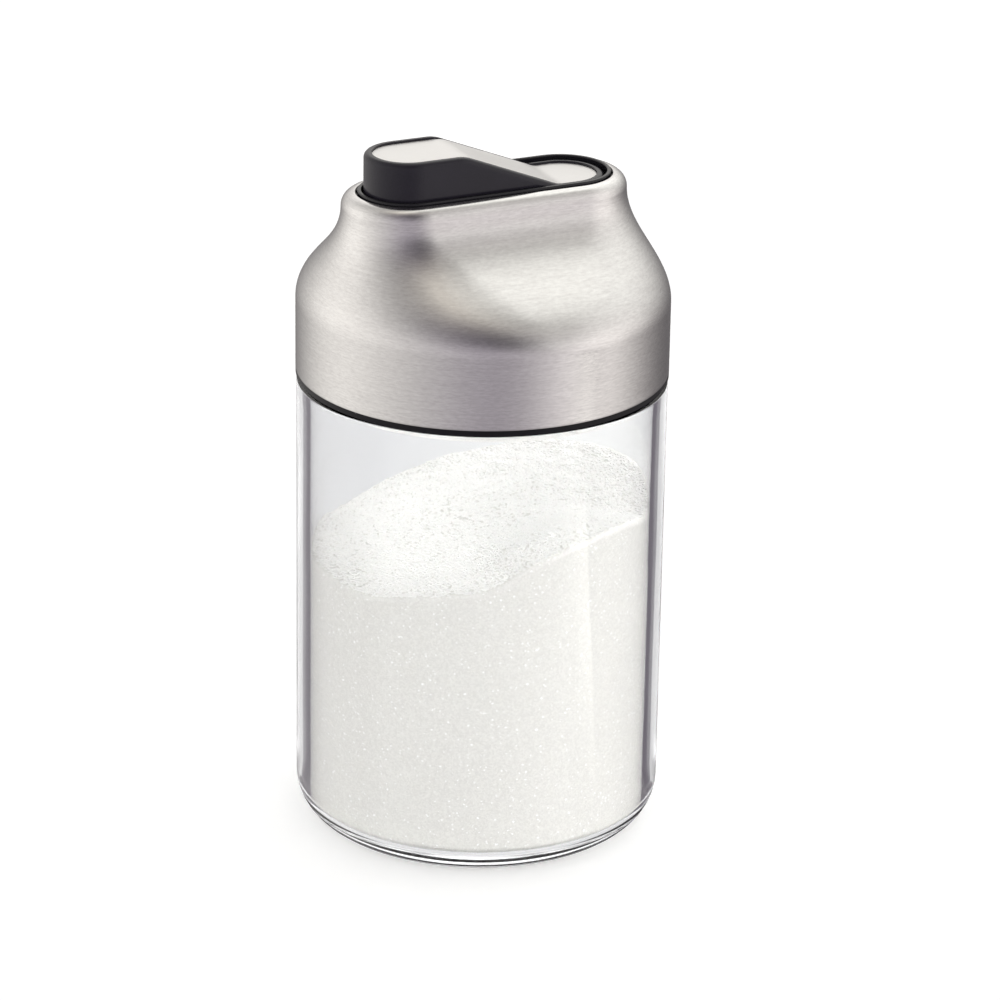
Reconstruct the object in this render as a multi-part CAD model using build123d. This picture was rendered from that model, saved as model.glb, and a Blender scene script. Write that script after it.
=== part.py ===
"""Sugar dispenser: glass jar, screw-on steel lid and a sprung rocker flap over a spout.

Millimetres. The origin is the centre of the jar's base, +Z is up and X runs along the
slot in the lid: the spout and the flap's raised end are at -X, the thumb end at +X.
"""

from build123d import *
import math
import os

# ---- Jar ----------------------------------------------------------------------------
jar_radius = 37.8
jar_wall = 2.8
jar_floor = 4.2
heel_radius = 8.4
foot_width = 1.9
foot_recess = 0.8
foot_slope = 1.5
jar_shoulder_height = 96.9
jar_shoulder_radius = 3.2
neck_step = 4.5
neck_wall = 2.3
neck_height = 10.2
neck_root_radius = 0.6
lip_radius = 0.7

# ---- Screw thread -------------------------------------------------------------------
thread_pitch = 4.2
thread_depth = 1.7
thread_root_width = 2.4
thread_tip_width = 1.0
thread_overlap = 0.2
thread_gap = 0.3
jar_thread_rise = 2.4
jar_thread_turns = 1.1
lid_thread_turns = 0.9
lid_thread_start = 120.0

# ---- Sugar --------------------------------------------------------------------------
fill_level = 65.5
fill_tilt = 13.0
fill_lean = 2.7
fill_gap = 0.1
front_mound_angle = -67.0
front_mound_rise = 2.9
front_mound_spread = 15.0
side_mound_angle = 155.0
side_mound_rise = 3.9
side_mound_spread = 34.0

# ---- Lid: steel cover ---------------------------------------------------------------
shoulder_gap = 0.3
ring_height = 1.2
cover_overhang = 0.2
cover_sheet = 0.6
cover_height = 39.2
cover_band = 14.9
cover_shoulder_pull = 7.5
cover_neck_pull = 8.8
rim_roll = 2.9
slot_reach = 17.26
slot_radius = 10.2
cover_sections = 11
round_flat = 0.02
fillet_margin = 0.01

# ---- Lid: liner and seal ------------------------------------------------------------
glue_gap = 0.1
seal_thickness = 1.5
seal_overhang = 0.4
liner_deck = 2.0
rib_width = 1.5
rib_depth = 0.6
rib_gap = 0.9
ring_edge_radius = 0.3

# ---- Lid: flap frame and spout ------------------------------------------------------
frame_gap = 0.38
bezel_width = 0.82
bezel_rise = 0.5
bezel_edge_radius = 0.25
frame_wall = 1.9
lip_gap = 0.25
flange_width = 3.6
flange_thickness = 1.5
well_depth = 13.2
well_floor = 1.5
spout_wall = 1.2
spout_gap = 0.45
spout_drop = 1.7
spigot_gap = 0.1

# ---- Flap ---------------------------------------------------------------------------
flap_gap = 0.4
flap_rise = 8.2
thumb_drop = 0.1
flap_slope = 21.8
raised_flat = 17.9
upper_bend_radius = 8.0
lower_bend_radius = 5.0
flap_edge_radius = 1.1
rim_width = 1.6
plate_sink = 0.45
plate_thickness = 0.8
plate_gap = 0.1
flap_roof = 1.5
flap_wall = 0.95
skirt_drop = 5.7
thumb_skirt_drop = 3.7
skirt_step_gap = 4.0
skirt_step_length = 5.0

# ---- Hinge pin, plug and spring -----------------------------------------------------
pivot_x = 5.0
pivot_drop = 2.7
pin_radius = 1.0
pin_clearance = 0.05
pin_seat_clearance = 0.02
pin_end_gap = 0.1
barrel_wall = 1.3
plug_gap = 0.65
plug_thickness = 2.0
stopper_gap = 0.3
stopper_depth = 1.5
stopper_chamfer = 0.6
stem_radius = 1.4
stem_length = 3.0
stem_gap = 0.05
boss_radius = 3.2
spring_radius = 2.7
spring_wire = 0.5
spring_turns = 5.5
spring_seat_gap = 0.1
spring_end_gap = 0.02
lower_post_height = 1.5
upper_post_height = 1.2

# ---- Heights and radii that follow from the sizes above -----------------------------
foot_radius = jar_radius - heel_radius - foot_width
neck_radius = jar_radius - neck_step
cover_radius = jar_radius + cover_overhang
neck_top = jar_shoulder_height + neck_height
ring_bottom = jar_shoulder_height + shoulder_gap
cover_bottom = ring_bottom + ring_height
cover_top = cover_bottom + cover_height
deck_bottom = neck_top + seal_thickness
deck_top = deck_bottom + liner_deck
skirt_radius = neck_radius + thread_depth + thread_gap
bezel_top = cover_top + bezel_rise
bezel_radius = slot_radius - frame_gap
well_radius = bezel_radius - bezel_width
frame_radius = well_radius + frame_wall
lip_seat = cover_top - cover_sheet - lip_gap
floor_top = cover_top - well_depth
spout_top = cover_top - spout_drop
flap_radius = well_radius - flap_gap
cavity_radius = flap_radius - flap_wall
spout_outer = cavity_radius - spout_gap
spout_radius = spout_outer - spout_wall
plug_radius = cavity_radius - plug_gap
flap_top = cover_top + flap_rise
thumb_top = cover_top - thumb_drop
pivot_height = cover_top - pivot_drop
roof_depth = plate_sink + plate_thickness + flap_roof
flap_bend_x = raised_flat - slot_reach - flap_radius
skirt_step_x = pivot_x + skirt_step_gap
spring_seat = thumb_top - roof_depth
far = 2 * (flap_top + cover_radius)
upright = (Align.CENTER, Align.CENTER, Align.MIN)


# ---- Helpers ------------------------------------------------------------------------
def round_solid(radius, bottom, top, x=0.0):
    """Upright cylinder between two heights."""
    return Pos(x, 0, bottom) * Cylinder(radius, top - bottom, align=upright)


def slot_solid(radius, bottom, top, reach=slot_reach):
    """Upright solid with a slot outline: two round ends joined by straight sides."""
    outline = SlotCenterToCenter(2 * reach, 2 * radius)
    return Pos(0, 0, bottom) * extrude(outline, top - bottom)


def cross_rod(radius, length):
    """Cylinder along Y on the hinge axis."""
    return Pos(pivot_x, 0, pivot_height) * Rot(90, 0, 0) * Cylinder(radius, length)


def turned(points, radii):
    """Solid of revolution of a closed (radius, height) outline with rounded corners."""
    outline = FilletPolyline([(r, 0, z) for r, z in points], radius=radii, close=True)
    return revolve(make_face(outline), Axis.Z)


def thread_ridge(root_radius, tip_radius, turns, rise, start_angle):
    """Right-handed screw ridge, starting at an angle with its middle at a height."""
    inward = 1 if root_radius < tip_radius else -1
    root = root_radius - inward * thread_overlap
    slope = (thread_root_width - thread_tip_width) / (2 * thread_depth)
    half_root = thread_root_width / 2 + slope * thread_overlap
    half_tip = thread_tip_width / 2
    corners = [(root, 0, -half_root), (tip_radius, 0, -half_tip),
               (tip_radius, 0, half_tip), (root, 0, half_root)]
    section = make_face(Polyline(corners, close=True))
    path = Helix(thread_pitch, turns * thread_pitch, root_radius)
    ridge = sweep(section, path=path, is_frenet=True)
    return Pos(0, 0, rise) * Rot(0, 0, start_angle) * ridge


# ---- Jar and contents ---------------------------------------------------------------
def make_glass_jar():
    inside = jar_radius - jar_wall
    bore = neck_radius - neck_wall
    turn_in = (inside - bore) / 2
    ceiling = jar_shoulder_height - jar_wall
    corners = [
        ((0, foot_recess), 0),
        ((foot_radius - foot_slope, foot_recess), 0),
        ((foot_radius, 0), 0),
        ((jar_radius, 0), heel_radius),
        ((jar_radius, jar_shoulder_height), jar_shoulder_radius),
        ((neck_radius, jar_shoulder_height), neck_root_radius),
        ((neck_radius, neck_top), lip_radius),
        ((bore, neck_top), lip_radius),
        ((bore, ceiling), turn_in - fillet_margin),
        ((inside, ceiling), turn_in - fillet_margin),
        ((inside, jar_floor), heel_radius - jar_wall),
        ((0, jar_floor), 0),
    ]
    jar = turned([point for point, _ in corners], [radius for _, radius in corners])
    ridge = thread_ridge(neck_radius, neck_radius + thread_depth, jar_thread_turns,
                         jar_shoulder_height + jar_thread_rise, 0)
    return jar + ridge


def wall_mound(radius, angle, rise, spread):
    """Ball at the wall whose top stands out of a level surface as a low mound."""
    ball = (spread ** 2 + rise ** 2) / (2 * rise)
    lying = Rot(90, 0, 0) * Sphere(ball)
    return Rot(0, 0, angle) * Pos(radius, 0, rise - ball) * lying


def make_sugar_fill():
    """Poured heap: a sloping surface with two low mounds against the glass."""
    radius = jar_radius - jar_wall - fill_gap
    bottom = jar_floor + fill_gap
    outline = [(0, bottom), (radius, bottom),
               (radius, jar_shoulder_height), (0, jar_shoulder_height)]
    heap = turned(outline, [0, heel_radius - jar_wall - fill_gap, 0, 0])
    surface = Pos(0, 0, fill_level) * Rot(-fill_lean, -fill_tilt, 0)
    empty = Box(far, far, far, align=upright)
    empty -= wall_mound(radius, front_mound_angle, front_mound_rise, front_mound_spread)
    empty -= wall_mound(radius, side_mound_angle, side_mound_rise, side_mound_spread)
    return heap - surface * empty


# ---- Lid ----------------------------------------------------------------------------
def cover_skin(inset):
    """Solid up to the cover's outer face, or to a face parallel to it further in."""
    neck = slot_radius + rim_roll
    rim_base = cover_top - rim_roll
    band_top = cover_bottom + cover_band
    pulls = (band_top, band_top + cover_shoulder_pull, rim_base - cover_neck_pull, rim_base)
    lower, middle, upper = (pulls[i + 1] - pulls[i] for i in range(3))
    sections = []
    for step in range(cover_sections):
        t = step / (cover_sections - 1)
        weights = ((1 - t) ** 3, 3 * t * (1 - t) ** 2, 3 * t * t * (1 - t), t ** 3)
        height = sum(weight * pull for weight, pull in zip(weights, pulls))
        blend = weights[2] + weights[3]
        rise = 3 * ((1 - t) ** 2 * lower + 2 * t * (1 - t) * middle + t * t * upper)
        run = 6 * t * (1 - t) * (neck - cover_radius)
        length = math.hypot(rise, run)
        radius = cover_radius + blend * (neck - cover_radius) - inset * rise / length
        outline = SlotCenterToCenter(2 * max(blend * slot_reach, round_flat), 2 * radius)
        sections.append(Pos(0, 0, height + inset * run / length) * outline)
    band = slot_solid(cover_radius - inset, cover_bottom, band_top, round_flat)
    rim = slot_solid(neck - inset, rim_base, cover_top - inset)
    rim = fillet(rim.edges().group_by(Axis.Z)[-1], rim_roll - inset - fillet_margin)
    return band + loft(sections) + rim


def make_lid_cover():
    opening = slot_solid(slot_radius, cover_bottom, cover_top + cover_height)
    return cover_skin(0) - cover_skin(cover_sheet) - opening


def make_lid_liner():
    outside = cover_radius - cover_sheet - glue_gap
    rib_outside = neck_radius - neck_wall - rib_gap
    rib_inside = rib_outside - rib_width
    rib_bottom = neck_top - rib_depth
    corners = [
        ((0, deck_bottom), 0),
        ((rib_inside, deck_bottom), 0),
        ((rib_inside, rib_bottom), 0),
        ((rib_outside, rib_bottom), 0),
        ((rib_outside, deck_bottom), 0),
        ((skirt_radius, deck_bottom), 0),
        ((skirt_radius, ring_bottom), 0),
        ((cover_radius, ring_bottom), ring_edge_radius),
        ((cover_radius, cover_bottom), 0),
        ((outside, cover_bottom), 0),
        ((outside, deck_top), 0),
        ((0, deck_top), 0),
    ]
    liner = turned([point for point, _ in corners], [radius for _, radius in corners])
    start = jar_shoulder_height + jar_thread_rise - thread_pitch / 2
    rise = start + thread_pitch * lid_thread_start / 360
    liner += thread_ridge(skirt_radius, skirt_radius - thread_depth, lid_thread_turns,
                          rise, lid_thread_start)
    hole = round_solid(spout_outer + spigot_gap, deck_bottom - liner_deck,
                       deck_top + liner_deck, -slot_reach)
    return liner - hole


def make_jar_seal():
    inner = neck_radius - neck_wall - seal_overhang
    outer = skirt_radius - thread_gap
    return round_solid(outer, neck_top, deck_bottom) - round_solid(inner, neck_top, deck_bottom)


def make_flap_frame():
    wall = slot_solid(frame_radius, deck_top, lip_seat)
    bezel = slot_solid(bezel_radius, lip_seat, bezel_top)
    flange = slot_solid(frame_radius + flange_width, deck_top, deck_top + flange_thickness)
    well = slot_solid(well_radius, floor_top, bezel_top)
    hollow = slot_solid(well_radius, deck_top, floor_top - well_floor)
    frame = wall + bezel + flange - well - hollow
    frame = fillet(frame.edges().group_by(Axis.Z)[-1], bezel_edge_radius)
    frame += round_solid(spout_outer, deck_bottom, spout_top, -slot_reach)
    frame -= round_solid(spout_radius, deck_bottom, spout_top, -slot_reach)
    post_radius = spring_radius - spring_wire / 2 - spring_seat_gap
    frame += round_solid(post_radius, floor_top, floor_top + lower_post_height, slot_reach)
    return frame - cross_rod(pin_radius + pin_seat_clearance, far)


def make_hinge_pin():
    return cross_rod(pin_radius, 2 * (frame_radius - pin_end_gap))


def make_return_spring():
    bottom = floor_top + spring_end_gap + spring_wire / 2
    top = spring_seat - spring_end_gap - spring_wire / 2
    height = top - bottom
    path = Helix(height / spring_turns, height, spring_radius)
    section = Plane(origin=path @ 0, z_dir=path % 0) * Circle(spring_wire / 2)
    return Pos(slot_reach, 0, bottom) * sweep(section, path=path, is_frenet=True)


# ---- Flap ---------------------------------------------------------------------------
def below_crest(depth, sink=0):
    """Everything below the flap's bent crest line, offset downwards by a depth.

    The two flats lie lower still by a sink; the slope between them doesn't.
    """
    slope = math.radians(flap_slope)
    shift = depth * math.tan(slope / 2) - sink / math.tan(slope)
    foot_x = flap_bend_x + (flap_top - thumb_top) / math.tan(slope)
    raised, low = flap_top - depth - sink, thumb_top - depth - sink
    crest = FilletPolyline(
        (-far, 0, raised),
        (flap_bend_x - shift, 0, raised),
        (foot_x - shift, 0, low),
        (far, 0, low),
        radius=[upper_bend_radius - depth, lower_bend_radius + depth],
    )
    sides = Polyline((far, 0, low), (far, 0, 0), (-far, 0, 0), (-far, 0, raised))
    outline = make_face([*crest.edges(), *sides.edges()])
    return extrude(outline, 2 * cover_radius, both=True)


def above_skirt():
    """Everything above the flap's lower edge, which is higher at the thumb end."""
    low = cover_top - skirt_drop
    high = cover_top - thumb_skirt_drop
    step_end = skirt_step_x + skirt_step_length
    outline = Polyline((-far, 0, low), (skirt_step_x, 0, low), (step_end, 0, high),
                       (far, 0, high), (far, 0, far), (-far, 0, far), close=True)
    return extrude(make_face(outline), 2 * cover_radius, both=True)


def on_top_edge(edge):
    """True for an edge that runs round the top of the flap's outer wall."""
    middle = edge @ 0.5
    outward = math.hypot(max(abs(middle.X) - slot_reach, 0), middle.Y)
    on_wall = abs(outward - flap_radius) < fillet_margin
    on_top = middle.Z > thumb_top - fillet_margin
    upright_edge = abs((edge % 0.5).Z) > 1 - fillet_margin
    return on_wall and on_top and not upright_edge


def make_flap_body():
    body = slot_solid(flap_radius, cover_bottom, flap_top) & below_crest(0)
    body = fillet(body.edges().filter_by(on_top_edge), flap_edge_radius)
    recess = slot_solid(flap_radius - rim_width, cover_bottom, flap_top)
    body -= recess - below_crest(plate_thickness, plate_sink)
    cavity = slot_solid(cavity_radius, cover_bottom, flap_top) & below_crest(roof_depth)
    body -= cavity
    plug_top = spout_top + plug_thickness
    inner_parts = cross_rod(pin_radius + pin_clearance + barrel_wall, 2 * cavity_radius)
    inner_parts += round_solid(boss_radius, plug_top, flap_top - roof_depth, -slot_reach)
    post_radius = spring_radius - spring_wire / 2 - spring_seat_gap
    inner_parts += round_solid(post_radius, spring_seat - upper_post_height, spring_seat,
                               slot_reach)
    body = (body & above_skirt()) + inner_parts
    body -= cross_rod(pin_radius + pin_clearance, far)
    return body - round_solid(stem_radius + stem_gap, plug_top,
                              plug_top + stem_length + stem_gap, -slot_reach)


def make_flap_plate():
    blank = slot_solid(flap_radius - rim_width - plate_gap, cover_bottom, flap_top)
    sheet = below_crest(0, plate_sink) - below_crest(plate_thickness, plate_sink)
    return blank & sheet


def make_flap_plug():
    disc = round_solid(plug_radius, spout_top, spout_top + plug_thickness)
    stopper = round_solid(spout_radius - stopper_gap, spout_top - stopper_depth, spout_top)
    stopper = chamfer(stopper.edges().group_by(Axis.Z)[0], stopper_chamfer)
    stem = round_solid(stem_radius, spout_top, spout_top + plug_thickness + stem_length)
    return Pos(-slot_reach, 0, 0) * (disc + stopper + stem)


# ---- Write one file per piece -------------------------------------------------------
pieces = {
    "glass_jar": make_glass_jar,
    "sugar_fill": make_sugar_fill,
    "jar_seal": make_jar_seal,
    "lid_cover": make_lid_cover,
    "lid_liner": make_lid_liner,
    "flap_frame": make_flap_frame,
    "hinge_pin": make_hinge_pin,
    "return_spring": make_return_spring,
    "flap_body": make_flap_body,
    "flap_plate": make_flap_plate,
    "flap_plug": make_flap_plug,
}

os.makedirs("parts", exist_ok=True)
for name, make in pieces.items():
    export_step(make(), f"parts/{name}.step")
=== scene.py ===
# %% [markdown]
# # A sugar dispenser with a rocker flap
#
# The object is a thick glass jar of sugar under a brushed steel lid. The lid turns from a circle
# into a long slot, and a black flap rocks in that slot to open a pour spout. The engineering model
# already gives every solid its size and place, and this lesson dresses it: each visible piece gets
# a surface that curves smoothly and a finish worked out by nodes.

# %% Load the frame
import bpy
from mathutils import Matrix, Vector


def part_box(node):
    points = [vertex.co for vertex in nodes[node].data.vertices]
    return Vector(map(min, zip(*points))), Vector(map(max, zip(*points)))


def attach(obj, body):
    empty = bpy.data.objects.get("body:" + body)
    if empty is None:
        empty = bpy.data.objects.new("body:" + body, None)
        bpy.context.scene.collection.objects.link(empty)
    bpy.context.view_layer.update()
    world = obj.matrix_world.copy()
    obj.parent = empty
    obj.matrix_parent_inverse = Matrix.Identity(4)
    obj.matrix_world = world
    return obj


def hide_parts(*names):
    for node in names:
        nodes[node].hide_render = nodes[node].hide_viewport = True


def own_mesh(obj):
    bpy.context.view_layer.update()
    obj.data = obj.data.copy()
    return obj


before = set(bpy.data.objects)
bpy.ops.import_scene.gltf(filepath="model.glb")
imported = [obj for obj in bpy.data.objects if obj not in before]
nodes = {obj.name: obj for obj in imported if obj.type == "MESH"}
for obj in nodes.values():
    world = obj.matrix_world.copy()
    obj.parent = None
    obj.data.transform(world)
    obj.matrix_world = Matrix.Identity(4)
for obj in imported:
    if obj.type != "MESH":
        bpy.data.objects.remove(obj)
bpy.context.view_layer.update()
print("nodes:", ", ".join(sorted(nodes)))

# %% Tools and units
import math

import bmesh
import bpy
from mathutils import Quaternion, Vector, noise

MM = 0.001


def span(node, axis):
    """Lowest and highest place of a node along one axis, in millimetres."""
    low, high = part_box(node)
    return low[axis] / MM, high[axis] / MM


def show(name, data):
    """Puts new data into the scene as an object."""
    made = bpy.data.objects.new(name, data)
    bpy.context.scene.collection.objects.link(made)
    return made


# %% [markdown]
# The camera is where a photographer would stand for a catalogue picture: nearly a metre away with
# a long lens, looking down by about 22 degrees. A long lens keeps the jar's sides nearly parallel.
# A camera can be turned by three angles, but a place, a point to look at and a small roll are
# easier to read and to change.

# %% Set the camera
camera_place = Vector((-377.7, -793.9, 422.8)) * MM
camera_aim = Vector((3.66, -1.76, 68.75)) * MM
camera_roll = math.radians(0.956)

camera = show("camera", bpy.data.cameras.new("camera"))
camera.data.lens = 165.7
camera.data.clip_start = 0.05
camera.location = camera_place
camera.rotation_mode = "QUATERNION"
looking = (camera_aim - camera_place).to_track_quat("-Z", "Y")
camera.rotation_quaternion = looking @ Quaternion((0, 0, 1), camera_roll)
bpy.context.scene.camera = camera
bpy.context.scene.view_settings.view_transform = "Standard"

# Light bounces many times inside the thick glass of the jar's foot before it gets out.
bpy.context.scene.cycles.max_bounces = 24
bpy.context.scene.cycles.glossy_bounces = 16
bpy.context.scene.cycles.transmission_bounces = 24
print("camera distance:", round((camera_aim - camera_place).length, 3), "m")

# %% [markdown]
# Finishes are sums: a streak here, a speckle there, each weighted and added. Wiring those by hand
# takes many lines, so one small class stands for a node's output. Arithmetic on it adds Math
# nodes, and any other node is made by its name, its settings and what goes into its sockets.


# %% A wire that can be added and multiplied
class Wire:
    """One output of a node, ready for sums."""

    def __init__(self, tree, kind, settings=None, sockets=None, output=0):
        self.tree, self.node = tree, tree.nodes.new(kind)
        for name, value in (settings or {}).items():
            setattr(self.node, name, value)
        for key, value in (sockets or {}).items():
            if isinstance(value, Wire):
                tree.links.new(value.socket, self.node.inputs[key])
            else:
                self.node.inputs[key].default_value = value
        self.socket = self.node.outputs[output] if self.node.outputs else None

    def math(self, operation, *others, swap=False):
        values = (self, *others)
        sockets = dict(enumerate(values[::-1] if swap else values))
        return Wire(self.tree, "ShaderNodeMath", {"operation": operation}, sockets)

    def __add__(self, other):
        return self.math("ADD", other)

    def __sub__(self, other):
        return self.math("SUBTRACT", other)

    def __mul__(self, other):
        return self.math("MULTIPLY", other)

    def __truediv__(self, other):
        return self.math("DIVIDE", other)

    def __rsub__(self, other):
        return self.math("SUBTRACT", other, swap=True)

    __radd__ = __add__
    __rmul__ = __mul__

    def clamped(self, low=0.0, high=1.0):
        return self.math("MAXIMUM", low).math("MINIMUM", high)


print("wires are ready")


# %% Colours, vectors and their parts
def mixed(tree, share, first, second):
    """A colour between two colours."""
    return Wire(tree, "ShaderNodeMix", {"data_type": "RGBA"},
                {0: share, 6: first, 7: second}, output=2)


def stretched(tree, vector, scale):
    """A vector with each of its parts multiplied."""
    return Wire(tree, "ShaderNodeVectorMath", {"operation": "MULTIPLY"}, {0: vector, 1: scale})


def scaled(tree, vector, factor):
    """A colour or a vector made brighter or longer."""
    return Wire(tree, "ShaderNodeVectorMath", {"operation": "SCALE"}, {0: vector, "Scale": factor})


def parts(tree, vector):
    """The three numbers in a vector."""
    return [Wire(tree, "ShaderNodeSeparateXYZ", {}, {0: vector}, output=i) for i in range(3)]


def joined(tree, x, y, z):
    """A vector made of three numbers."""
    return Wire(tree, "ShaderNodeCombineXYZ", {}, {0: x, 1: y, 2: z})


print("vector helpers are ready")

# %% [markdown]
# The room is what polished steel and glass are really painted with. A studio has large soft lights,
# small fill lights and black cards that make dark gaps between them, and a brushed lid shows each
# as a broad upright band. Lamps could stand in for these, but then they would show in the glass as
# hard rectangles, so the world itself carries soft patches of light and shade. Each patch fades out
# like a bell: sideways by its focus, and up and down by its tallness.


# %% Soft lights in the world
class SoftLight:
    """A patch of light in the sky, by compass bearing and height in degrees."""

    def __init__(self, bearing, height, focus, tallness, colour=None):
        self.bearing, self.height = math.radians(bearing), height
        self.focus, self.tallness, self.colour = focus, tallness, colour

    def share(self, east, north, climb):
        """How much of this light a direction sees, from 0 to 1."""
        along = east * math.sin(self.bearing) + north * math.cos(self.bearing)
        offset = (climb - self.height) / self.tallness
        return ((along - 1) * self.focus - offset * offset).math("EXPONENT")


studio = [
    SoftLight(-50, 6, 3.1, 63, (0.88, 0.865, 0.82)),
    SoftLight(129, 3, 3.8, 59, (1.06, 1.02, 0.98)),
    SoftLight(57, 50, 2.4, 39, (1.12, 1.13, 1.07)),
    SoftLight(254, -2, 1.5, 59, (0.56, 0.55, 0.52)),
    SoftLight(265, 110, 0.3, 29, (1.59, 1.50, 1.30)),
    SoftLight(25.7, 30, 6.0, 24, (0.62, 0.60, 0.58)),
    SoftLight(205, 8, 3.0, 60, (0.065, 0.045, 0.10)),
    SoftLight(155, 36, 16.0, 18, (0.28, 0.28, 0.27)),
    SoftLight(160, -22, 12.0, 16, (0.15, 0.142, 0.15)),
    SoftLight(100, 88, 0.3, 9, (0.14, 0.14, 0.13)),
    SoftLight(55, 60, 10.0, 9, (0.20, 0.20, 0.19)),
]
black_cards = [(0.46, SoftLight(183, 46, 5.5, 26)), (0.26, SoftLight(105, 72, 8.0, 9)),
               (0.36, SoftLight(138.5, -21, 75.0, 7))]
print("soft lights:", len(studio), "black cards:", len(black_cards))

# %% Sum the soft lights
world = bpy.data.worlds.new("studio")
bpy.context.scene.world = world
world.use_nodes = True
sky = world.node_tree
sky.nodes.clear()

direction = Wire(sky, "ShaderNodeTexCoord")
x, y, z = parts(sky, direction)
flat = (x * x + y * y).math("SQRT").math("MAXIMUM", 0.001)
east, north = x / flat, y / flat
climb = z.math("ARCSINE") * math.degrees(1)

glow = (0.02, 0.012, 0.024, 1.0)
for light in studio:
    lamp = scaled(sky, light.colour, light.share(east, north, climb))
    glow = Wire(sky, "ShaderNodeMix", {"data_type": "RGBA", "blend_type": "ADD"},
                {0: 1.0, 6: glow, 7: lamp}, output=2)
for darkness, card in black_cards:
    hidden = card.share(east, north, climb) * darkness
    glow = mixed(sky, hidden, glow, (0.0, 0.0, 0.0, 1.0))
print("world nodes:", len(sky.nodes))

# %% [markdown]
# A jar in a room shows a window as one long bright line with a sharp edge on its right and a soft
# fade to its left. It lies just below the level of the eye's mirror image, leans with the jar's
# curve, and is so thin that the rough steel blurs it away while the smooth glass keeps it.

# %% Add the long thin window light
WINDOW_BEARING, WINDOW_LEAN, WINDOW_FADE = 136, 3.86, -0.005
WINDOW_TOP, WINDOW_LOW = -21.7, -25.6
bearing = east.math("ARCTAN2", north) * math.degrees(1)
past_edge = bearing - (WINDOW_BEARING + WINDOW_LEAN * (climb + 21.9))
window = ((past_edge / 1.6).clamped() * (past_edge * past_edge * WINDOW_FADE).math("EXPONENT")
          * ((WINDOW_TOP - climb) / 0.5).clamped() * ((climb - WINDOW_LOW) / 1.9).clamped())
glow = mixed(sky, window, glow, (2.9, 2.82, 2.7, 1.0))
print("world nodes:", len(sky.nodes))

# %% [markdown]
# Matte surfaces see a plain light of their own, which is strongest low down and fades above. The
# sugar sits in a deep jar under a black lid, so only light from a low band all round the table can
# reach it. The band stands a little higher on the right and behind, where the heap is nearest the
# lid and would fall into shade.

# %% Light for matte surfaces
DIM = (0.30, 0.30, 0.29, 1.0)
VIEW_BEARING = 25.7
BAND_START, BAND_END = -2, 29
high_up = ((climb - 22) / 26).clamped()
even_light = mixed(sky, high_up, (1.95, 1.93, 1.90, 1.0), (0.30, 0.30, 0.30, 1.0))

ahead = math.radians(VIEW_BEARING)
toward = east * math.sin(ahead) + north * math.cos(ahead)
rightward = east * math.cos(ahead) - north * math.sin(ahead)

over_table = ((climb - BAND_START) / 6).clamped()
under_lid = ((climb - BAND_END - toward.clamped() * 31 - rightward.clamped() * 44) / 8).clamped()
steep_right = ((climb - 25) / 20).clamped() * rightward.clamped()
band_light = scaled(sky, (4.18, 4.15, 4.10), 1.04 - 0.12 * rightward + toward.clamped() * 0.25
                    + steep_right * 1.3)
band_light = mixed(sky, under_lid, band_light, DIM)
sugar_light = mixed(sky, over_table, DIM, band_light)
print("world nodes:", len(sky.nodes))

# %% [markdown]
# Clear glass gets its look from what stands around it. Light that passes straight through the jar
# sees the white backdrop. Light that turns inside the thick wall comes out sideways, at about the
# mirror height of the eye, and sees the dark sides of the studio: those are the dark lines down
# the jar's edges. Above and below that level the sides are pale, which keeps the foot bright.

# %% Light for the glass wall
MIRROR_LEVEL, SIDES_START = -22, 0.909
beside = ((SIDES_START - toward) / 0.017).clamped() * ((toward + 0.5) / 0.3).clamped()
level = ((9 - (climb - MIRROR_LEVEL).math("ABSOLUTE")) / 3).clamped()
behind = ((toward - 0.975) / 0.024).clamped()
backdrop = mixed(sky, behind * behind, (0.84, 0.835, 0.845, 1.0), (2.70, 2.70, 2.70, 1.0))
below = ((-31 - climb) / 3).clamped()
around = mixed(sky, below, (1.50, 1.50, 1.51, 1.0), (0.88, 0.88, 0.89, 1.0))
backdrop = mixed(sky, level, around, backdrop)
farther = ((0.89 - toward) / 0.07).clamped()
dark_side = mixed(sky, farther, (0.21, 0.195, 0.225, 1.0), (0.13, 0.115, 0.145, 1.0))
wall_light = mixed(sky, beside * level, backdrop, dark_side)
print("world nodes:", len(sky.nodes))

# %% [markdown]
# Now each kind of ray gets its light. The camera sees a plain white backdrop, mirror reflections
# see the soft lights, and matte surfaces the plain light. A ray that has gone through glass is
# told apart by how often it was bent: once or twice inside the wall, and more often when it
# crossed the whole jar. One that has met the sugar carries the sugar's light.

# %% Share the world out between the kinds of ray
WHITE = (1.0, 1.0, 1.0, 1.0)


def ray(output):
    return Wire(sky, "ShaderNodeLightPath", output=output)


straight = ray("Transmission Depth").math("GREATER_THAN", 2.5)
clear_view = mixed(sky, (0.65 + 9 * rightward).clamped(), (0.80, 0.80, 0.82, 1.0), WHITE)
through_glass = mixed(sky, straight, wall_light, clear_view)
lit_by_matte = ray("Diffuse Depth").math("GREATER_THAN", 0.5)
through_glass = mixed(sky, lit_by_matte, through_glass, sugar_light)

seen = mixed(sky, ray("Is Glossy Ray"), even_light, glow)
seen = mixed(sky, ray("Is Transmission Ray"), seen, through_glass)
seen = mixed(sky, ray("Is Camera Ray"), seen, WHITE)
background = Wire(sky, "ShaderNodeBackground", {}, {"Color": seen})
Wire(sky, "ShaderNodeOutputWorld", {}, {"Surface": background})
print("world nodes:", len(sky.nodes))

# %% [markdown]
# The floor is a plain pale sheet. It has to look as white as the backdrop and still hold the jar's
# soft shadow, so its paint is pale grey and it gives off a little light of its own, which only
# the camera sees. Steel and glass look past it to the studio lights.

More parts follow.
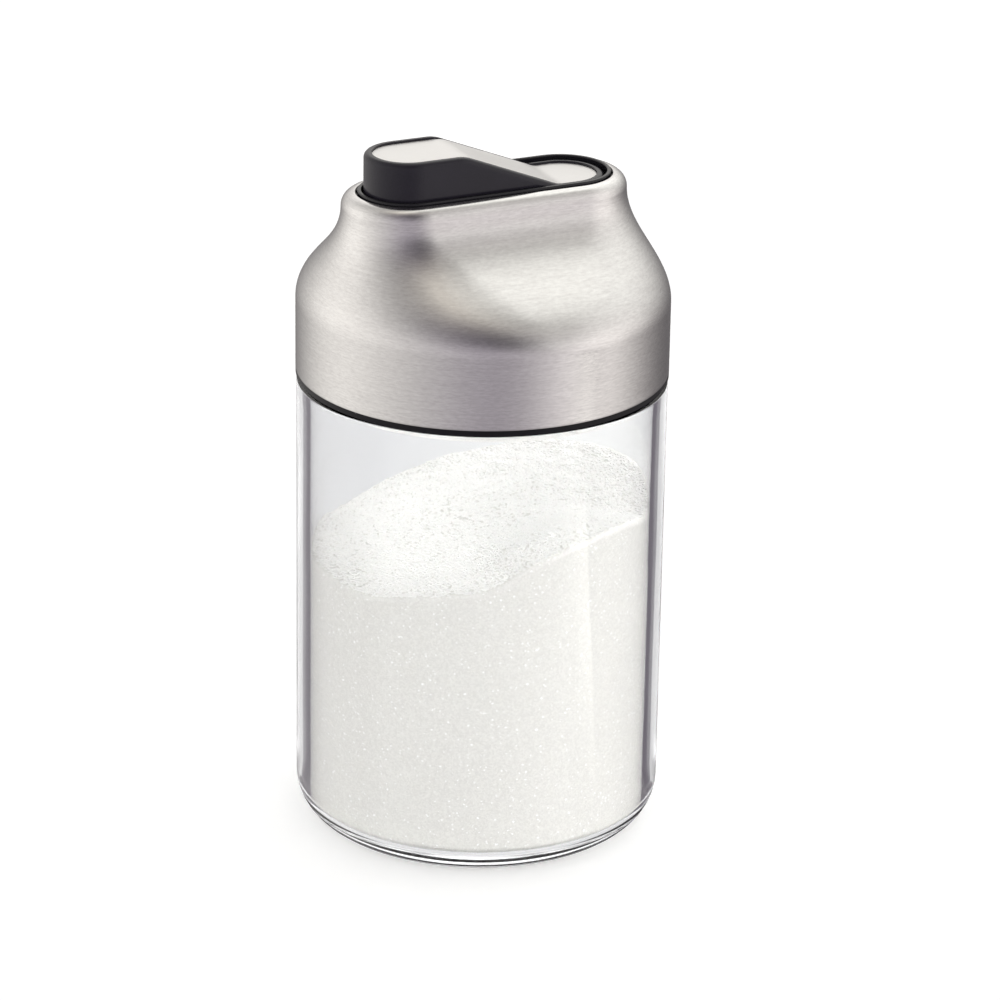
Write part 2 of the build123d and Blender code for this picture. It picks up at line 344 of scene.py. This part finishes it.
# %% Lay the floor
FLOOR_SIZE = 3.0
floor_paint = bpy.data.materials.new("pale floor")
floor_paint.use_nodes = True
paint = floor_paint.node_tree
paint.nodes.clear()
sheet = Wire(paint, "ShaderNodeBsdfDiffuse", {}, {"Color": (0.86, 0.86, 0.86, 1.0)})
camera_ray = Wire(paint, "ShaderNodeLightPath", output="Is Camera Ray")
lift = Wire(paint, "ShaderNodeEmission", {}, {"Strength": camera_ray * 0.36})
both = Wire(paint, "ShaderNodeAddShader", {}, {0: sheet, 1: lift})
Wire(paint, "ShaderNodeOutputMaterial", {}, {"Surface": both})

half = FLOOR_SIZE / 2
floor_mesh = bpy.data.meshes.new("floor")
corners = [(-half, -half, 0), (half, -half, 0), (half, half, 0), (-half, half, 0)]
floor_mesh.from_pydata(corners, [], [(0, 1, 2, 3)])
floor_mesh.materials.append(floor_paint)
floor = show("floor", floor_mesh)
floor.visible_glossy = False
floor.visible_transmission = False
print("floor:", FLOOR_SIZE, "m")

# %% [markdown]
# The cover is one pressed sheet of stainless steel: a plain round band at the jar, a wave-shaped
# shoulder, and a long slot at the top with a rolled-in rim. It could be modelled by hand with
# loops, but its shape follows a rule, so Geometry Nodes bend a flat grid into it. Along the grid's
# long side runs the way round, and along its short side the way up. At each height the outline is
# two half circles joined by straight runs, and only the radius and the reach of the ends change.


# %% Helpers for geometry trees
def new_rule(name, sizes, takes_mesh=False):
    """A geometry tree with a named number for each size."""
    tree = bpy.data.node_groups.new(name, "GeometryNodeTree")
    tree.interface.new_socket(name="Mesh", in_out="OUTPUT", socket_type="NodeSocketGeometry")
    if takes_mesh:
        tree.interface.new_socket(name="Base", in_out="INPUT", socket_type="NodeSocketGeometry")
    for size in sizes:
        tree.interface.new_socket(name=size, in_out="INPUT", socket_type="NodeSocketFloat")
    return tree


def end_rule(tree, mesh, finish):
    """Turns copies into real faces, sets their finish and ends the tree."""
    real = Wire(tree, "GeometryNodeRealizeInstances", {}, {0: mesh})
    dressed = Wire(tree, "GeometryNodeSetMaterial", {}, {0: real, "Material": finish})
    Wire(tree, "NodeGroupOutput", {}, {0: dressed})


def plain_mesh(piece):
    """The piece as its modifiers leave it, as a mesh without them."""
    graph = bpy.context.evaluated_depsgraph_get()
    made = bpy.data.meshes.new_from_object(piece.evaluated_get(graph))
    piece.modifiers.clear()
    piece.data = made
    print(piece.name, "faces:", len(made.polygons))
    return piece


def follow_rule(name, tree, sizes, base=None):
    """A new piece shaped once by a geometry tree."""
    piece = bpy.data.objects.new(name, base or bpy.data.meshes.new(name))
    rule = piece.modifiers.new("rule", "NODES")
    rule.node_group = tree
    for item in tree.interface.items_tree:
        if item.in_out == "INPUT" and item.name in sizes:
            rule[item.identifier] = float(sizes[item.name])
    bpy.context.scene.collection.objects.link(piece)
    return plain_mesh(piece)


print("rule helpers are ready")

# %% [markdown]
# Brushed steel is a metal with very fine scratches, all running round the cover. Light scatters
# far across the scratches and little along them, so reflections stretch up and down. The big
# part of that is the shader's Anisotropic setting. The small part is streaks: noise that is
# squeezed hard across the scratches and hardly along them. The streaks follow a stored attribute
# that carries on over the rim, because plain height would smear where the metal turns flat.


# %% Helpers for finishes
def new_finish(name):
    """An empty material and its node tree."""
    made = bpy.data.materials.new(name)
    made.use_nodes = True
    made.node_tree.nodes.clear()
    return made, made.node_tree


def close_finish(tree, shader):
    Wire(tree, "ShaderNodeOutputMaterial", {}, {"Surface": shader})


def grain(tree, place, scale, detail=2.0, roughness=0.5):
    """Soft noise from 0 to 1, with scale in lumps for each millimetre along x, y and z."""
    squeezed = stretched(tree, place, tuple(number / MM for number in scale))
    return Wire(tree, "ShaderNodeTexNoise", {}, {"Vector": squeezed, "Scale": 1.0,
                "Detail": detail, "Roughness": roughness})


def spot(tree):
    """The place on the object."""
    return Wire(tree, "ShaderNodeTexCoord", output="Object")


print("finish helpers are ready")

# %% Brushed steel
steel_finish, steel = new_finish("brushed steel")
along = Wire(steel, "ShaderNodeAttribute", {"attribute_name": "brushing"}, output="Vector")
streaks = grain(steel, along, (0.8, 0.8, 3.3), 2.0)
strokes = grain(steel, along, (0.14, 0.14, 2.3), 2.0)
clouds = grain(steel, along, (0.04, 0.04, 0.05), 2.0)
shine = (0.5 + (streaks - 0.5) * 1.5 + (strokes - 0.5) * 0.9).clamped()
steel_colour = mixed(steel, shine, (0.63, 0.615, 0.61, 1.0), (0.78, 0.77, 0.76, 1.0))
steel_rough = 0.12 + streaks * 0.06 + clouds * 0.04
steel_bump = Wire(steel, "ShaderNodeBump", {}, {"Height": streaks, "Strength": 0.14,
                  "Distance": 0.02 * MM})
steel_shader = Wire(steel, "ShaderNodeBsdfPrincipled", {}, {
    "Base Color": steel_colour, "Metallic": 1.0, "Roughness": steel_rough,
    "Anisotropic": 0.5, "Anisotropic Rotation": 0.25, "Normal": steel_bump})
close_finish(steel, steel_shader)
print("steel nodes:", len(steel.nodes))

# %% The cover's sizes
cover_low, cover_high = span("lid_cover", 2)
cover_left, cover_right = span("lid_cover", 0)
cover_sizes = {
    "Bottom": cover_low * MM,
    "Height": (cover_high - cover_low) * MM,
    "Radius": (cover_right - cover_left) / 2 * MM,
    "Band": 14.9 * MM,
    "Shoulder Pull": 7.5 * MM,
    "Neck Pull": 8.8 * MM,
    "Slot Reach": 17.26 * MM,
    "Slot Radius": 10.2 * MM,
    "Rim Roll": 2.9 * MM,
}
print("cover height:", round(cover_high - cover_low, 2), "mm")

# %% Bend a grid into the cover
cover = new_rule("cover", cover_sizes)


def cover_size(name):
    return Wire(cover, "NodeGroupInput", output=name)


grid = Wire(cover, "GeometryNodeMeshGrid", {}, {"Size X": 1.0, "Size Y": 1.0,
            "Vertices X": 241, "Vertices Y": 91})
grid_x, grid_y = parts(cover, Wire(cover, "GeometryNodeInputPosition"))[:2]
around, up = grid_x + 0.5, (grid_y + 0.5) * 3
band_part, t, roll = up.clamped(), (up - 1).clamped(), (up - 2).clamped() * (math.pi / 2)
rest = 1 - t
bend_height = cover_size("Height") - cover_size("Band") - cover_size("Rim Roll")
blend = t * t * (3 - 2 * t)
lift = (3 * t * rest * rest * cover_size("Shoulder Pull")
        + 3 * t * t * rest * (bend_height - cover_size("Neck Pull")) + t * t * t * bend_height)
height = (cover_size("Bottom") + cover_size("Band") * band_part + lift
          + cover_size("Rim Roll") * roll.math("SINE"))
print("cover rule nodes so far:", len(cover.nodes))

# %% Take each row from a circle to a slot
neck_radius = cover_size("Slot Radius") + cover_size("Rim Roll")
radius = (cover_size("Radius") + (neck_radius - cover_size("Radius")) * blend
          - cover_size("Rim Roll") * (1 - roll.math("COSINE")))
reach = cover_size("Slot Reach") * blend
turn = around * (2 * math.pi)
arc = radius * (math.pi / 2)
walk = (around * 4).math("PINGPONG", 1.0) * (arc + reach)
corner = (walk / radius).math("MINIMUM", math.pi / 2)
out = reach + radius * corner.math("COSINE") - (walk - arc).math("MAXIMUM", 0.0)
place_x = out * turn.math("COSINE").math("SIGN")
place_y = radius * corner.math("SINE") * turn.math("SINE").math("SIGN")

unrolled = height + cover_size("Rim Roll") * (roll - roll.math("SINE"))
stored = Wire(cover, "GeometryNodeStoreNamedAttribute",
              {"data_type": "FLOAT_VECTOR", "domain": "POINT"},
              {0: grid, "Name": "brushing", "Value": joined(cover, place_x, place_y, unrolled)})
bent = Wire(cover, "GeometryNodeSetPosition", {},
            {0: stored, "Position": joined(cover, place_x, place_y, height)})
closed = Wire(cover, "GeometryNodeMergeByDistance", {}, {0: bent, "Distance": 0.001 * MM})
smooth = Wire(cover, "GeometryNodeSetShadeSmooth", {}, {0: closed})
end_rule(cover, smooth, steel_finish)
print("cover rule nodes:", len(cover.nodes))

# %% Make the cover
SHEET = 0.6 * MM
lid_skin = follow_rule("steel_cover", cover, cover_sizes)
wall = lid_skin.modifiers.new("sheet", "SOLIDIFY")
wall.thickness, wall.offset, wall.use_even_offset = SHEET, -1.0, True
edge = lid_skin.modifiers.new("edge", "BEVEL")
edge.limit_method, edge.angle_limit = "ANGLE", math.radians(50)
edge.width, edge.segments = 0.12 * MM, 2
plain_mesh(lid_skin)
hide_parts("lid_cover")
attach(lid_skin, "lid")

# %% [markdown]
# The jar is blown and pressed glass with a wall nearly three millimetres thick. Glass needs both
# its surfaces: light bends once going in and once coming out, and the dark lines down the jar's
# sides are what the thick wall does to it. A lathe makes it: half of the section is drawn as a few
# corners with a radius at each, and turned about the middle. The screw thread on the neck is a
# ridge that climbs as it goes round, so the neck's rows are pushed out where the ridge passes.


# %% Draw a section with rounded corners
def rounded(corners, step=8.0):
    """Points along a line of corners given as (radius, height, rounding)."""
    line = []
    for i, (r, h, size) in enumerate(corners):
        here = Vector((r, h))
        if not size:
            line.append(here)
            continue
        back = (Vector(corners[i - 1][:2]) - here).normalized()
        on = (Vector(corners[i + 1][:2]) - here).normalized()
        opening = back.angle(on)
        centre = here + (back + on).normalized() * (size / math.sin(opening / 2))
        reach = size / math.tan(opening / 2)
        first, last = here + back * reach - centre, here + on * reach - centre
        sweep = math.copysign(math.pi - opening, first.x * last.y - first.y * last.x)
        count = max(3, round(math.degrees(abs(sweep)) / step))
        for n in range(count + 1):
            c, s = math.cos(sweep * n / count), math.sin(sweep * n / count)
            line.append(centre + Vector((first.x * c - first.y * s, first.x * s + first.y * c)))
    return line


def divided(line, longest):
    """The same line with points added where they lie far apart."""
    fine = [line[0]]
    for point in line[1:]:
        last = fine[-1]
        count = max(1, math.ceil((point - last).length / longest))
        fine += [last.lerp(point, n / count) for n in range(1, count + 1)]
    return fine


def lathed(name, line, turns, place):
    """A closed surface from a line whose two ends are on the axis."""
    form = bmesh.new()
    rows = []
    for point in line:
        if point.x < 1e-6:
            rows.append([form.verts.new(place(0.0, point.y, 0.0))])
            continue
        rows.append([form.verts.new(place(point.x, point.y, 2 * math.pi * n / turns))
                     for n in range(turns)])
    for low, high in zip(rows, rows[1:]):
        for n in range(turns):
            ring = [low[n % len(low)], low[(n + 1) % len(low)],
                    high[(n + 1) % len(high)], high[n % len(high)]]
            form.faces.new(list(dict.fromkeys(ring)))
    for face in form.faces:
        face.smooth = True
    mesh = bpy.data.meshes.new(name)
    form.to_mesh(mesh)
    form.free()
    return show(name, mesh)


print("lathe is ready")

# %% The jar's section
jar_low, jar_high = span("glass_jar", 2)
jar_radius = (span("glass_jar", 0)[1] - span("glass_jar", 0)[0]) / 2
shoulder, neck_radius_mm = 96.9, 33.3
inside, mouth, floor_height = jar_radius - 2.8, 31.0, 4.2
jar_corners = [
    (0, 0.8, 0), (26.0, 0.8, 1.0), (27.5, 0, 0.6), (jar_radius, 0, 8.4),
    (jar_radius, shoulder, 0.8), (neck_radius_mm, shoulder, 0.4),
    (neck_radius_mm, jar_high, 0.7), (mouth, jar_high, 0.7), (mouth, shoulder + 0.9, 0.8),
    (inside, shoulder - 1.0, 0.6), (inside, floor_height, 2.6), (17, floor_height + 0.6, 20.0),
    (0, floor_height + 0.8, 0),
]
print("jar radius:", round(jar_radius, 2), "mm, height:", round(jar_high, 2), "mm")

# %% Let the thread climb the neck
THREAD_LOW, THREAD_PITCH, THREAD_TURNS, THREAD_DEPTH = 99.3, 4.2, 1.1, 1.7


def with_thread(radius, height, angle):
    """A place on the glass, pushed out where the thread's ridge passes."""
    push = 0.0
    if abs(radius - neck_radius_mm) < 0.01:
        for lap in (0.0, 1.0):
            turned = angle / (2 * math.pi) + lap
            if 0 <= turned <= THREAD_TURNS:
                away = abs(height - THREAD_LOW - THREAD_PITCH * turned)
                ends = min(1.0, turned / 0.03, (THREAD_TURNS - turned) / 0.03)
                push = max(push, min(1.0, (1.2 - away) / 0.7) * ends)
    radius += THREAD_DEPTH * max(0.0, push)
    return Vector((radius * math.cos(angle), radius * math.sin(angle), height)) * MM


jar_line = divided(rounded(jar_corners), 4.0)
neck_line = [point for point in jar_line if abs(point.x - neck_radius_mm) < 0.01]
low_neck, high_neck = neck_line[0].y, neck_line[-1].y
start = jar_line.index(neck_line[0])
steps = round((high_neck - low_neck) / 0.3)
fine_neck = [Vector((neck_radius_mm, low_neck + (high_neck - low_neck) * n / steps))
             for n in range(steps + 1)]
jar_line[start:start + len(neck_line)] = fine_neck
jar = lathed("clear_jar", jar_line, 256, with_thread)
print("jar rows:", len(jar_line), "faces:", len(jar.data.polygons))

# %% [markdown]
# Clear glass is one of the few finishes that is almost nothing but its bending of light. It still
# isn't perfectly even: pressed glass has a faint waviness, which is a very shallow, very wide bump.

# %% Clear glass
glass_finish, glass = new_finish("clear glass")
waves = grain(glass, spot(glass), (0.05, 0.05, 0.03), 1.0)
glass_bump = Wire(glass, "ShaderNodeBump", {}, {"Height": waves, "Strength": 0.15,
                  "Distance": 0.3 * MM})
glass_shader = Wire(glass, "ShaderNodeBsdfPrincipled", {}, {
    "Base Color": (0.985, 0.99, 0.99, 1.0), "Roughness": 0.0, "IOR": 1.5,
    "Transmission Weight": 1.0, "Normal": glass_bump})
close_finish(glass, glass_shader)
jar.data.materials.append(glass_finish)
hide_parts("glass_jar")
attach(jar, "jar")

# %% [markdown]
# Sugar poured into a jar keeps the heap it was tipped into: here it slopes down towards one side
# and has slid up the glass in two places. The heap is a height for each place, made of a slope, two
# slides against the wall and small lumps, run together softly. Its grains are made twice: a bump
# and a mottle on the heap's side, which is pressed against the glass, and real crystals scattered
# over the top.

# %% The heap's surface
FILL_RADIUS = 34.85
FILL_LOW = floor_height + 0.9
FILL_LEVEL, FILL_TILT, FILL_LEAN = 65.30, 0.230, 0.052
SLIDES = [(-67.1, 2.85, 14.9), (154.6, 3.94, 34.0)]
SLIDE_RADIUS = 34
SHARPNESS, MIDDLE = 2, 66


def slope_height(x, y):
    return FILL_LEVEL + FILL_TILT * x - FILL_LEAN * y


def heap_height(x, y):
    """How high the sugar lies at a place, in millimetres."""
    total = math.exp(SHARPNESS * (slope_height(x, y) - MIDDLE))
    for angle, rise, spread in SLIDES:
        cx = SLIDE_RADIUS * math.cos(math.radians(angle))
        cy = SLIDE_RADIUS * math.sin(math.radians(angle))
        ball = (spread ** 2 + rise ** 2) / (2 * rise)
        away = (x - cx) ** 2 + (y - cy) ** 2
        cap = math.sqrt(max(ball ** 2 - away, 0.01)) - ball + rise
        total += math.exp(SHARPNESS * (slope_height(cx, cy) + cap - MIDDLE))
    lumps = (noise.noise(Vector((x, y, 0)) * 0.11) * 0.5
             + noise.noise(Vector((x, y, 5)) * 0.4) * 0.35)
    return math.log(total) / SHARPNESS + MIDDLE + lumps


print("sugar against the glass: from", round(heap_height(-34, 0), 1), "to",
      round(heap_height(34, 0), 1), "mm")

# %% Build the heap
TURNS, RINGS, WALL_ROWS = 220, 46, 44
FILL_HEEL = 1.8
heap = bmesh.new()


def heap_ring(radius, height_of):
    ring = []
    for n in range(TURNS):
        angle = 2 * math.pi * n / TURNS
        x, y = radius * math.cos(angle), radius * math.sin(angle)
        ring.append(heap.verts.new(Vector((x, y, height_of(x, y))) * MM))
    return ring


rings = [[heap.verts.new(Vector((0, 0, heap_height(0, 0))) * MM)]]
rings += [heap_ring(FILL_RADIUS * n / RINGS, heap_height) for n in range(1, RINGS + 1)]
heel_top = FILL_LOW + FILL_HEEL
for row in range(1, WALL_ROWS + 1):
    share = row / WALL_ROWS
    rings.append(heap_ring(FILL_RADIUS, lambda x, y: heap_height(x, y) * (1 - share)
                           + heel_top * share))
for step in range(1, 9):
    bend = math.pi / 2 * step / 8
    drop = heel_top - FILL_HEEL * math.sin(bend)
    rings.append(heap_ring(FILL_RADIUS - FILL_HEEL * (1 - math.cos(bend)), lambda x, y: drop))
for n in range(7, 0, -1):
    rings.append(heap_ring((FILL_RADIUS - FILL_HEEL) * n / 8, lambda x, y: FILL_LOW))
rings.append([heap.verts.new(Vector((0, 0, FILL_LOW)) * MM)])
for inner, outer in zip(rings, rings[1:]):
    for n in range(TURNS):
        ring = [inner[n % len(inner)], outer[n % len(outer)],
                outer[(n + 1) % len(outer)], inner[(n + 1) % len(inner)]]
        heap.faces.new(list(dict.fromkeys(ring))).smooth = True
heap_mesh = bpy.data.meshes.new("sugar_heap")
heap.to_mesh(heap_mesh)
heap.free()
sugar_heap = show("sugar_heap", heap_mesh)
print("heap faces:", len(heap_mesh.polygons))

# %% [markdown]
# Crystals are the kind of thing Geometry Nodes are good at: points are scattered over the heap's
# top, points too near the glass are taken away, and a tiny flat block is set on each of the rest,
# turned and sized at random with a fixed seed. White sugar is clear crystal, and looks white
# because light bounces about in it. A soft white finish stands for it better than thousands of tiny
# glass blocks. Its grains are a little lighter or darker at random, and a few pure white cells are
# painted glints. The heap's own finish, which shows on its side against the glass, is painted
# darker than the crystals' finish on its top. These are one sugar in a shaded copy and a lit copy:
# painted shade on the side and painted light on the top.


# %% White sugar
def sugar_look(name, dark, light, depth):
    """Packed white grains, each a little lighter or darker than the next, with a few pure white
    cells as painted glints.
    """
    made, tree = new_finish(name)
    place = spot(tree)
    cells = Wire(tree, "ShaderNodeTexVoronoi", {}, {"Vector": place, "Scale": 3.0 / MM},
                 output="Color")
    cell_tone, cell_luck = parts(tree, cells)[:2]
    drift = grain(tree, place, (0.09, 0.09, 0.09), 2.0)
    packed = mixed(tree, (cell_tone * 0.85 + drift * 0.15).clamped(), dark, light)
    # Painted glints: a few cells turn pure white, standing for light glinting off crystal faces.
    painted_glint = ((cell_luck - 0.97) / 0.02).clamped()
    bump = Wire(tree, "ShaderNodeBump", {}, {"Height": cell_tone, "Strength": 0.25,
                "Distance": depth * MM})
    close_finish(tree, Wire(tree, "ShaderNodeBsdfPrincipled", {}, {
        "Base Color": mixed(tree, painted_glint, packed, (1.0, 1.0, 1.0, 1.0)),
        "Roughness": 0.55, "Specular IOR Level": 0.3, "Normal": bump}))
    return made


# Painted shade and painted light: the heap's finish, seen on its side, is a darker copy of the
# sugar, and the crystals on its top are a lighter copy.
sugar_finish_painted_shade = sugar_look("white sugar, painted shade", (0.72, 0.71, 0.685, 1), (0.83, 0.822, 0.795, 1), 0.12)
crystal_finish_painted_light = sugar_look("sugar crystals, painted light", (0.94, 0.935, 0.925, 1), (1.0, 0.995, 0.98, 1), 0.03)
heap_mesh.materials.append(sugar_finish_painted_shade)
print("sugar finishes are ready")

# %% Scatter crystals over the heap
CRYSTALS, HEAP_RADIUS = 15000, 0.0343
crystal_sizes = {"Grains per Area": CRYSTALS / (math.pi * (HEAP_RADIUS ** 2)),
                 "Smallest": 0.42 * MM, "Largest": 0.72 * MM, "Edge of Heap": 34.45 * MM}
scatter = new_rule("crystals", crystal_sizes, takes_mesh=True)


def crystal_size(name):
    return Wire(scatter, "NodeGroupInput", output=name)


top_x, top_y = parts(scatter, Wire(scatter, "GeometryNodeInputPosition"))[:2]
facing_up = parts(scatter, Wire(scatter, "GeometryNodeInputNormal"))[2]
past_edge = (top_x * top_x + top_y * top_y).math("SQRT").math(
    "GREATER_THAN", crystal_size("Edge of Heap"))
points = Wire(scatter, "GeometryNodeDistributePointsOnFaces", {"distribute_method": "RANDOM"},
              {0: Wire(scatter, "NodeGroupInput", output="Base"),
               "Selection": facing_up.math("GREATER_THAN", 0.6),
               "Density": crystal_size("Grains per Area"), "Seed": 7})
points = Wire(scatter, "GeometryNodeDeleteGeometry", {"domain": "POINT"},
              {0: points, "Selection": past_edge})
cube = Wire(scatter, "GeometryNodeMeshCube", {}, {"Size": (1.0, 1.0, 0.34)})
turned_by = Wire(scatter, "FunctionNodeRandomValue", {"data_type": "FLOAT_VECTOR"},
                 {0: (-0.16, -0.16, 0.0), 1: (0.16, 0.16, 6.28), "Seed": 3})
sized_by = Wire(scatter, "FunctionNodeRandomValue", {"data_type": "FLOAT"},
                {2: crystal_size("Smallest"), 3: crystal_size("Largest"), "Seed": 5}, output=1)
copies = Wire(scatter, "GeometryNodeInstanceOnPoints", {},
              {0: points, "Instance": cube, "Rotation": turned_by, "Scale": sized_by})
end_rule(scatter, copies, crystal_finish_painted_light)
crystals = follow_rule("sugar_crystals", scatter, crystal_sizes, heap_mesh.copy())

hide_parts("sugar_fill")
for piece in (sugar_heap, crystals):
    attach(piece, "jar")

# %% [markdown]
# The other solids of the engineering model already have the right shape and smooth faces, so they
# keep them and only get better finishes. A finish is put on by changing the material in the
# object's slot, which leaves the solid itself alone. Moulded black plastic is never quite black
# or quite smooth: it has a fine spark-eroded texture, a slight violet cast, and duller patches.


# %% A finish for moulded plastic
def moulded(name, dark, light, rough, lumps, depth, gloss):
    """Plastic with a fine even texture and slightly duller patches."""
    made, tree = new_finish(name)
    place = spot(tree)
    fine = grain(tree, place, (lumps, lumps, lumps), 2.0)
    patches = grain(tree, place, (0.12, 0.12, 0.12), 3.0)
    colour = mixed(tree, (fine * 0.6 + patches * 0.4).clamped(), dark, light)
    bump = Wire(tree, "ShaderNodeBump", {}, {"Height": fine, "Strength": 0.4,
                "Distance": depth * MM})
    close_finish(tree, Wire(tree, "ShaderNodeBsdfPrincipled", {}, {
        "Base Color": colour, "Roughness": rough + patches * 0.08,
        "Specular IOR Level": gloss, "Normal": bump}))
    return made


def put_on(node, finish):
    """Gives a solid of the engineering model its finish."""
    for holder in nodes[node].material_slots:
        holder.material = finish
    print(node, "is now", finish.name)


flap_finish = moulded("flap plastic", (0.006, 0.005, 0.008, 1), (0.020, 0.018, 0.026, 1),
                      0.15, 5.0, 0.02, 0.30)
frame_finish = moulded("black plastic", (0.004, 0.004, 0.005, 1), (0.014, 0.013, 0.017, 1),
                       0.14, 4.0, 0.015, 0.35)
liner_finish = moulded("liner plastic", (0.003, 0.003, 0.004, 1), (0.010, 0.009, 0.012, 1),
                       0.20, 4.0, 0.015, 0.15)
put_on("flap_body", flap_finish)
put_on("flap_frame", frame_finish)
put_on("lid_liner", liner_finish)

# %% [markdown]
# The plate let into the flap is steel as well, but bead-blasted: fine even pits in every direction
# instead of scratches. It scatters all the light above it and so looks pale and flat.

# %% Satin plate
plate_finish, plate = new_finish("satin plate")
place = spot(plate)
pits = grain(plate, place, (7.0, 7.0, 7.0), 2.0)
handled = grain(plate, place, (0.10, 0.10, 0.10), 3.0)
plate_colour = mixed(plate, (pits * 0.5 + handled * 0.5).clamped(),
                     (0.70, 0.69, 0.68, 1.0), (0.84, 0.83, 0.82, 1.0))
plate_bump = Wire(plate, "ShaderNodeBump", {}, {"Height": pits, "Strength": 0.35,
                  "Distance": 0.02 * MM})
close_finish(plate, Wire(plate, "ShaderNodeBsdfPrincipled", {}, {
    "Base Color": plate_colour, "Metallic": 1.0, "Roughness": 0.38 + handled * 0.12,
    "Normal": plate_bump}))
put_on("flap_plate", plate_finish)

# %% [markdown]
# The last pieces hide inside the lid. The pin is turned steel with fine rings round it, the spring
# is drawn wire, and the seal and the plug are silicone: milky, soft, and a little dusty.


# %% Steel for the pin and the spring
def drawn_steel(name, dark, light, rough, scale):
    """Bright steel with fine marks along one direction."""
    made, tree = new_finish(name)
    marks = grain(tree, spot(tree), scale, 3.0)
    bump = Wire(tree, "ShaderNodeBump", {}, {"Height": marks, "Strength": 0.2,
                "Distance": 0.01 * MM})
    close_finish(tree, Wire(tree, "ShaderNodeBsdfPrincipled", {}, {
        "Base Color": mixed(tree, marks, dark, light), "Metallic": 1.0,
        "Roughness": rough + marks * 0.12, "Normal": bump}))
    return made


put_on("hinge_pin", drawn_steel("turned steel", (0.50, 0.49, 0.48, 1), (0.68, 0.67, 0.66, 1),
                                0.22, (0.4, 6.0, 0.4)))
spring_finish = drawn_steel("spring wire", (0.38, 0.37, 0.36, 1), (0.58, 0.57, 0.55, 1),
                            0.28, (3.0, 3.0, 3.0))

# %% [markdown]
# A coil spring is a rule too: a spiral curve with a round wire swept along it. It stands under the
# thumb end of the flap, and a press on the flap squeezes it to a third of its height. A rigid
# piece would poke through the flap at that pose.

# %% Coil the return spring
WIRE, SPRING_TURNS, SQUEEZED = 0.5, 5.5, 0.30
spring_low, spring_high = span("return_spring", 2)
spring_left, spring_right = span("return_spring", 0)
spring_middle = (spring_left + spring_right) / 2
coil_sizes = {"Turns": SPRING_TURNS, "Coil Radius": (spring_right - spring_left - WIRE) / 2 * MM,
              "Rise": (spring_high - spring_low - WIRE) * MM, "Wire Radius": WIRE / 2 * MM}
coil = new_rule("coil", coil_sizes)


def coil_size(name):
    return Wire(coil, "NodeGroupInput", output=name)


spiral = Wire(coil, "GeometryNodeCurveSpiral", {}, {
    "Resolution": 28, "Rotations": coil_size("Turns"), "Start Radius": coil_size("Coil Radius"),
    "End Radius": coil_size("Coil Radius"), "Height": coil_size("Rise"), "Reverse": True})
section = Wire(coil, "GeometryNodeCurvePrimitiveCircle", {}, {
    "Resolution": 12, "Radius": coil_size("Wire Radius")})
swept = Wire(coil, "GeometryNodeCurveToMesh", {}, {
    "Curve": spiral, "Profile Curve": section, "Fill Caps": True})
stood = Wire(coil, "GeometryNodeTransform", {}, {
    "Geometry": swept, "Translation": (spring_middle * MM, 0.0, (spring_low + WIRE / 2) * MM),
    "Rotation": (0.0, 0.0, -math.pi / 2)})
end_rule(coil, Wire(coil, "GeometryNodeSetShadeSmooth", {}, {0: stood}), spring_finish)
coil_spring = follow_rule("coil_spring", coil, coil_sizes)
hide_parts("return_spring")
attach(coil_spring, "lid")
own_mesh(coil_spring)


# %% Silicone for the seal and the plug
def silicone(name, dark, light, soft):
    """A soft, milky rubber with a little dust on it."""
    made, tree = new_finish(name)
    place = spot(tree)
    dust = grain(tree, place, (1.6, 1.6, 1.6), 3.0)
    cloud = grain(tree, place, (0.15, 0.15, 0.15), 2.0)
    bump = Wire(tree, "ShaderNodeBump", {}, {"Height": dust, "Strength": 0.25,
                "Distance": 0.03 * MM})
    close_finish(tree, Wire(tree, "ShaderNodeBsdfPrincipled", {}, {
        "Base Color": mixed(tree, (dust * 0.4 + cloud * 0.6).clamped(), dark, light),
        "Roughness": soft + dust * 0.15, "Specular IOR Level": 0.4, "Normal": bump}))
    return made


put_on("jar_seal", silicone("seal silicone", (0.62, 0.62, 0.60, 1), (0.78, 0.78, 0.76, 1), 0.42))
put_on("flap_plug", silicone("plug silicone", (0.05, 0.05, 0.055, 1), (0.10, 0.10, 0.11, 1), 0.48))
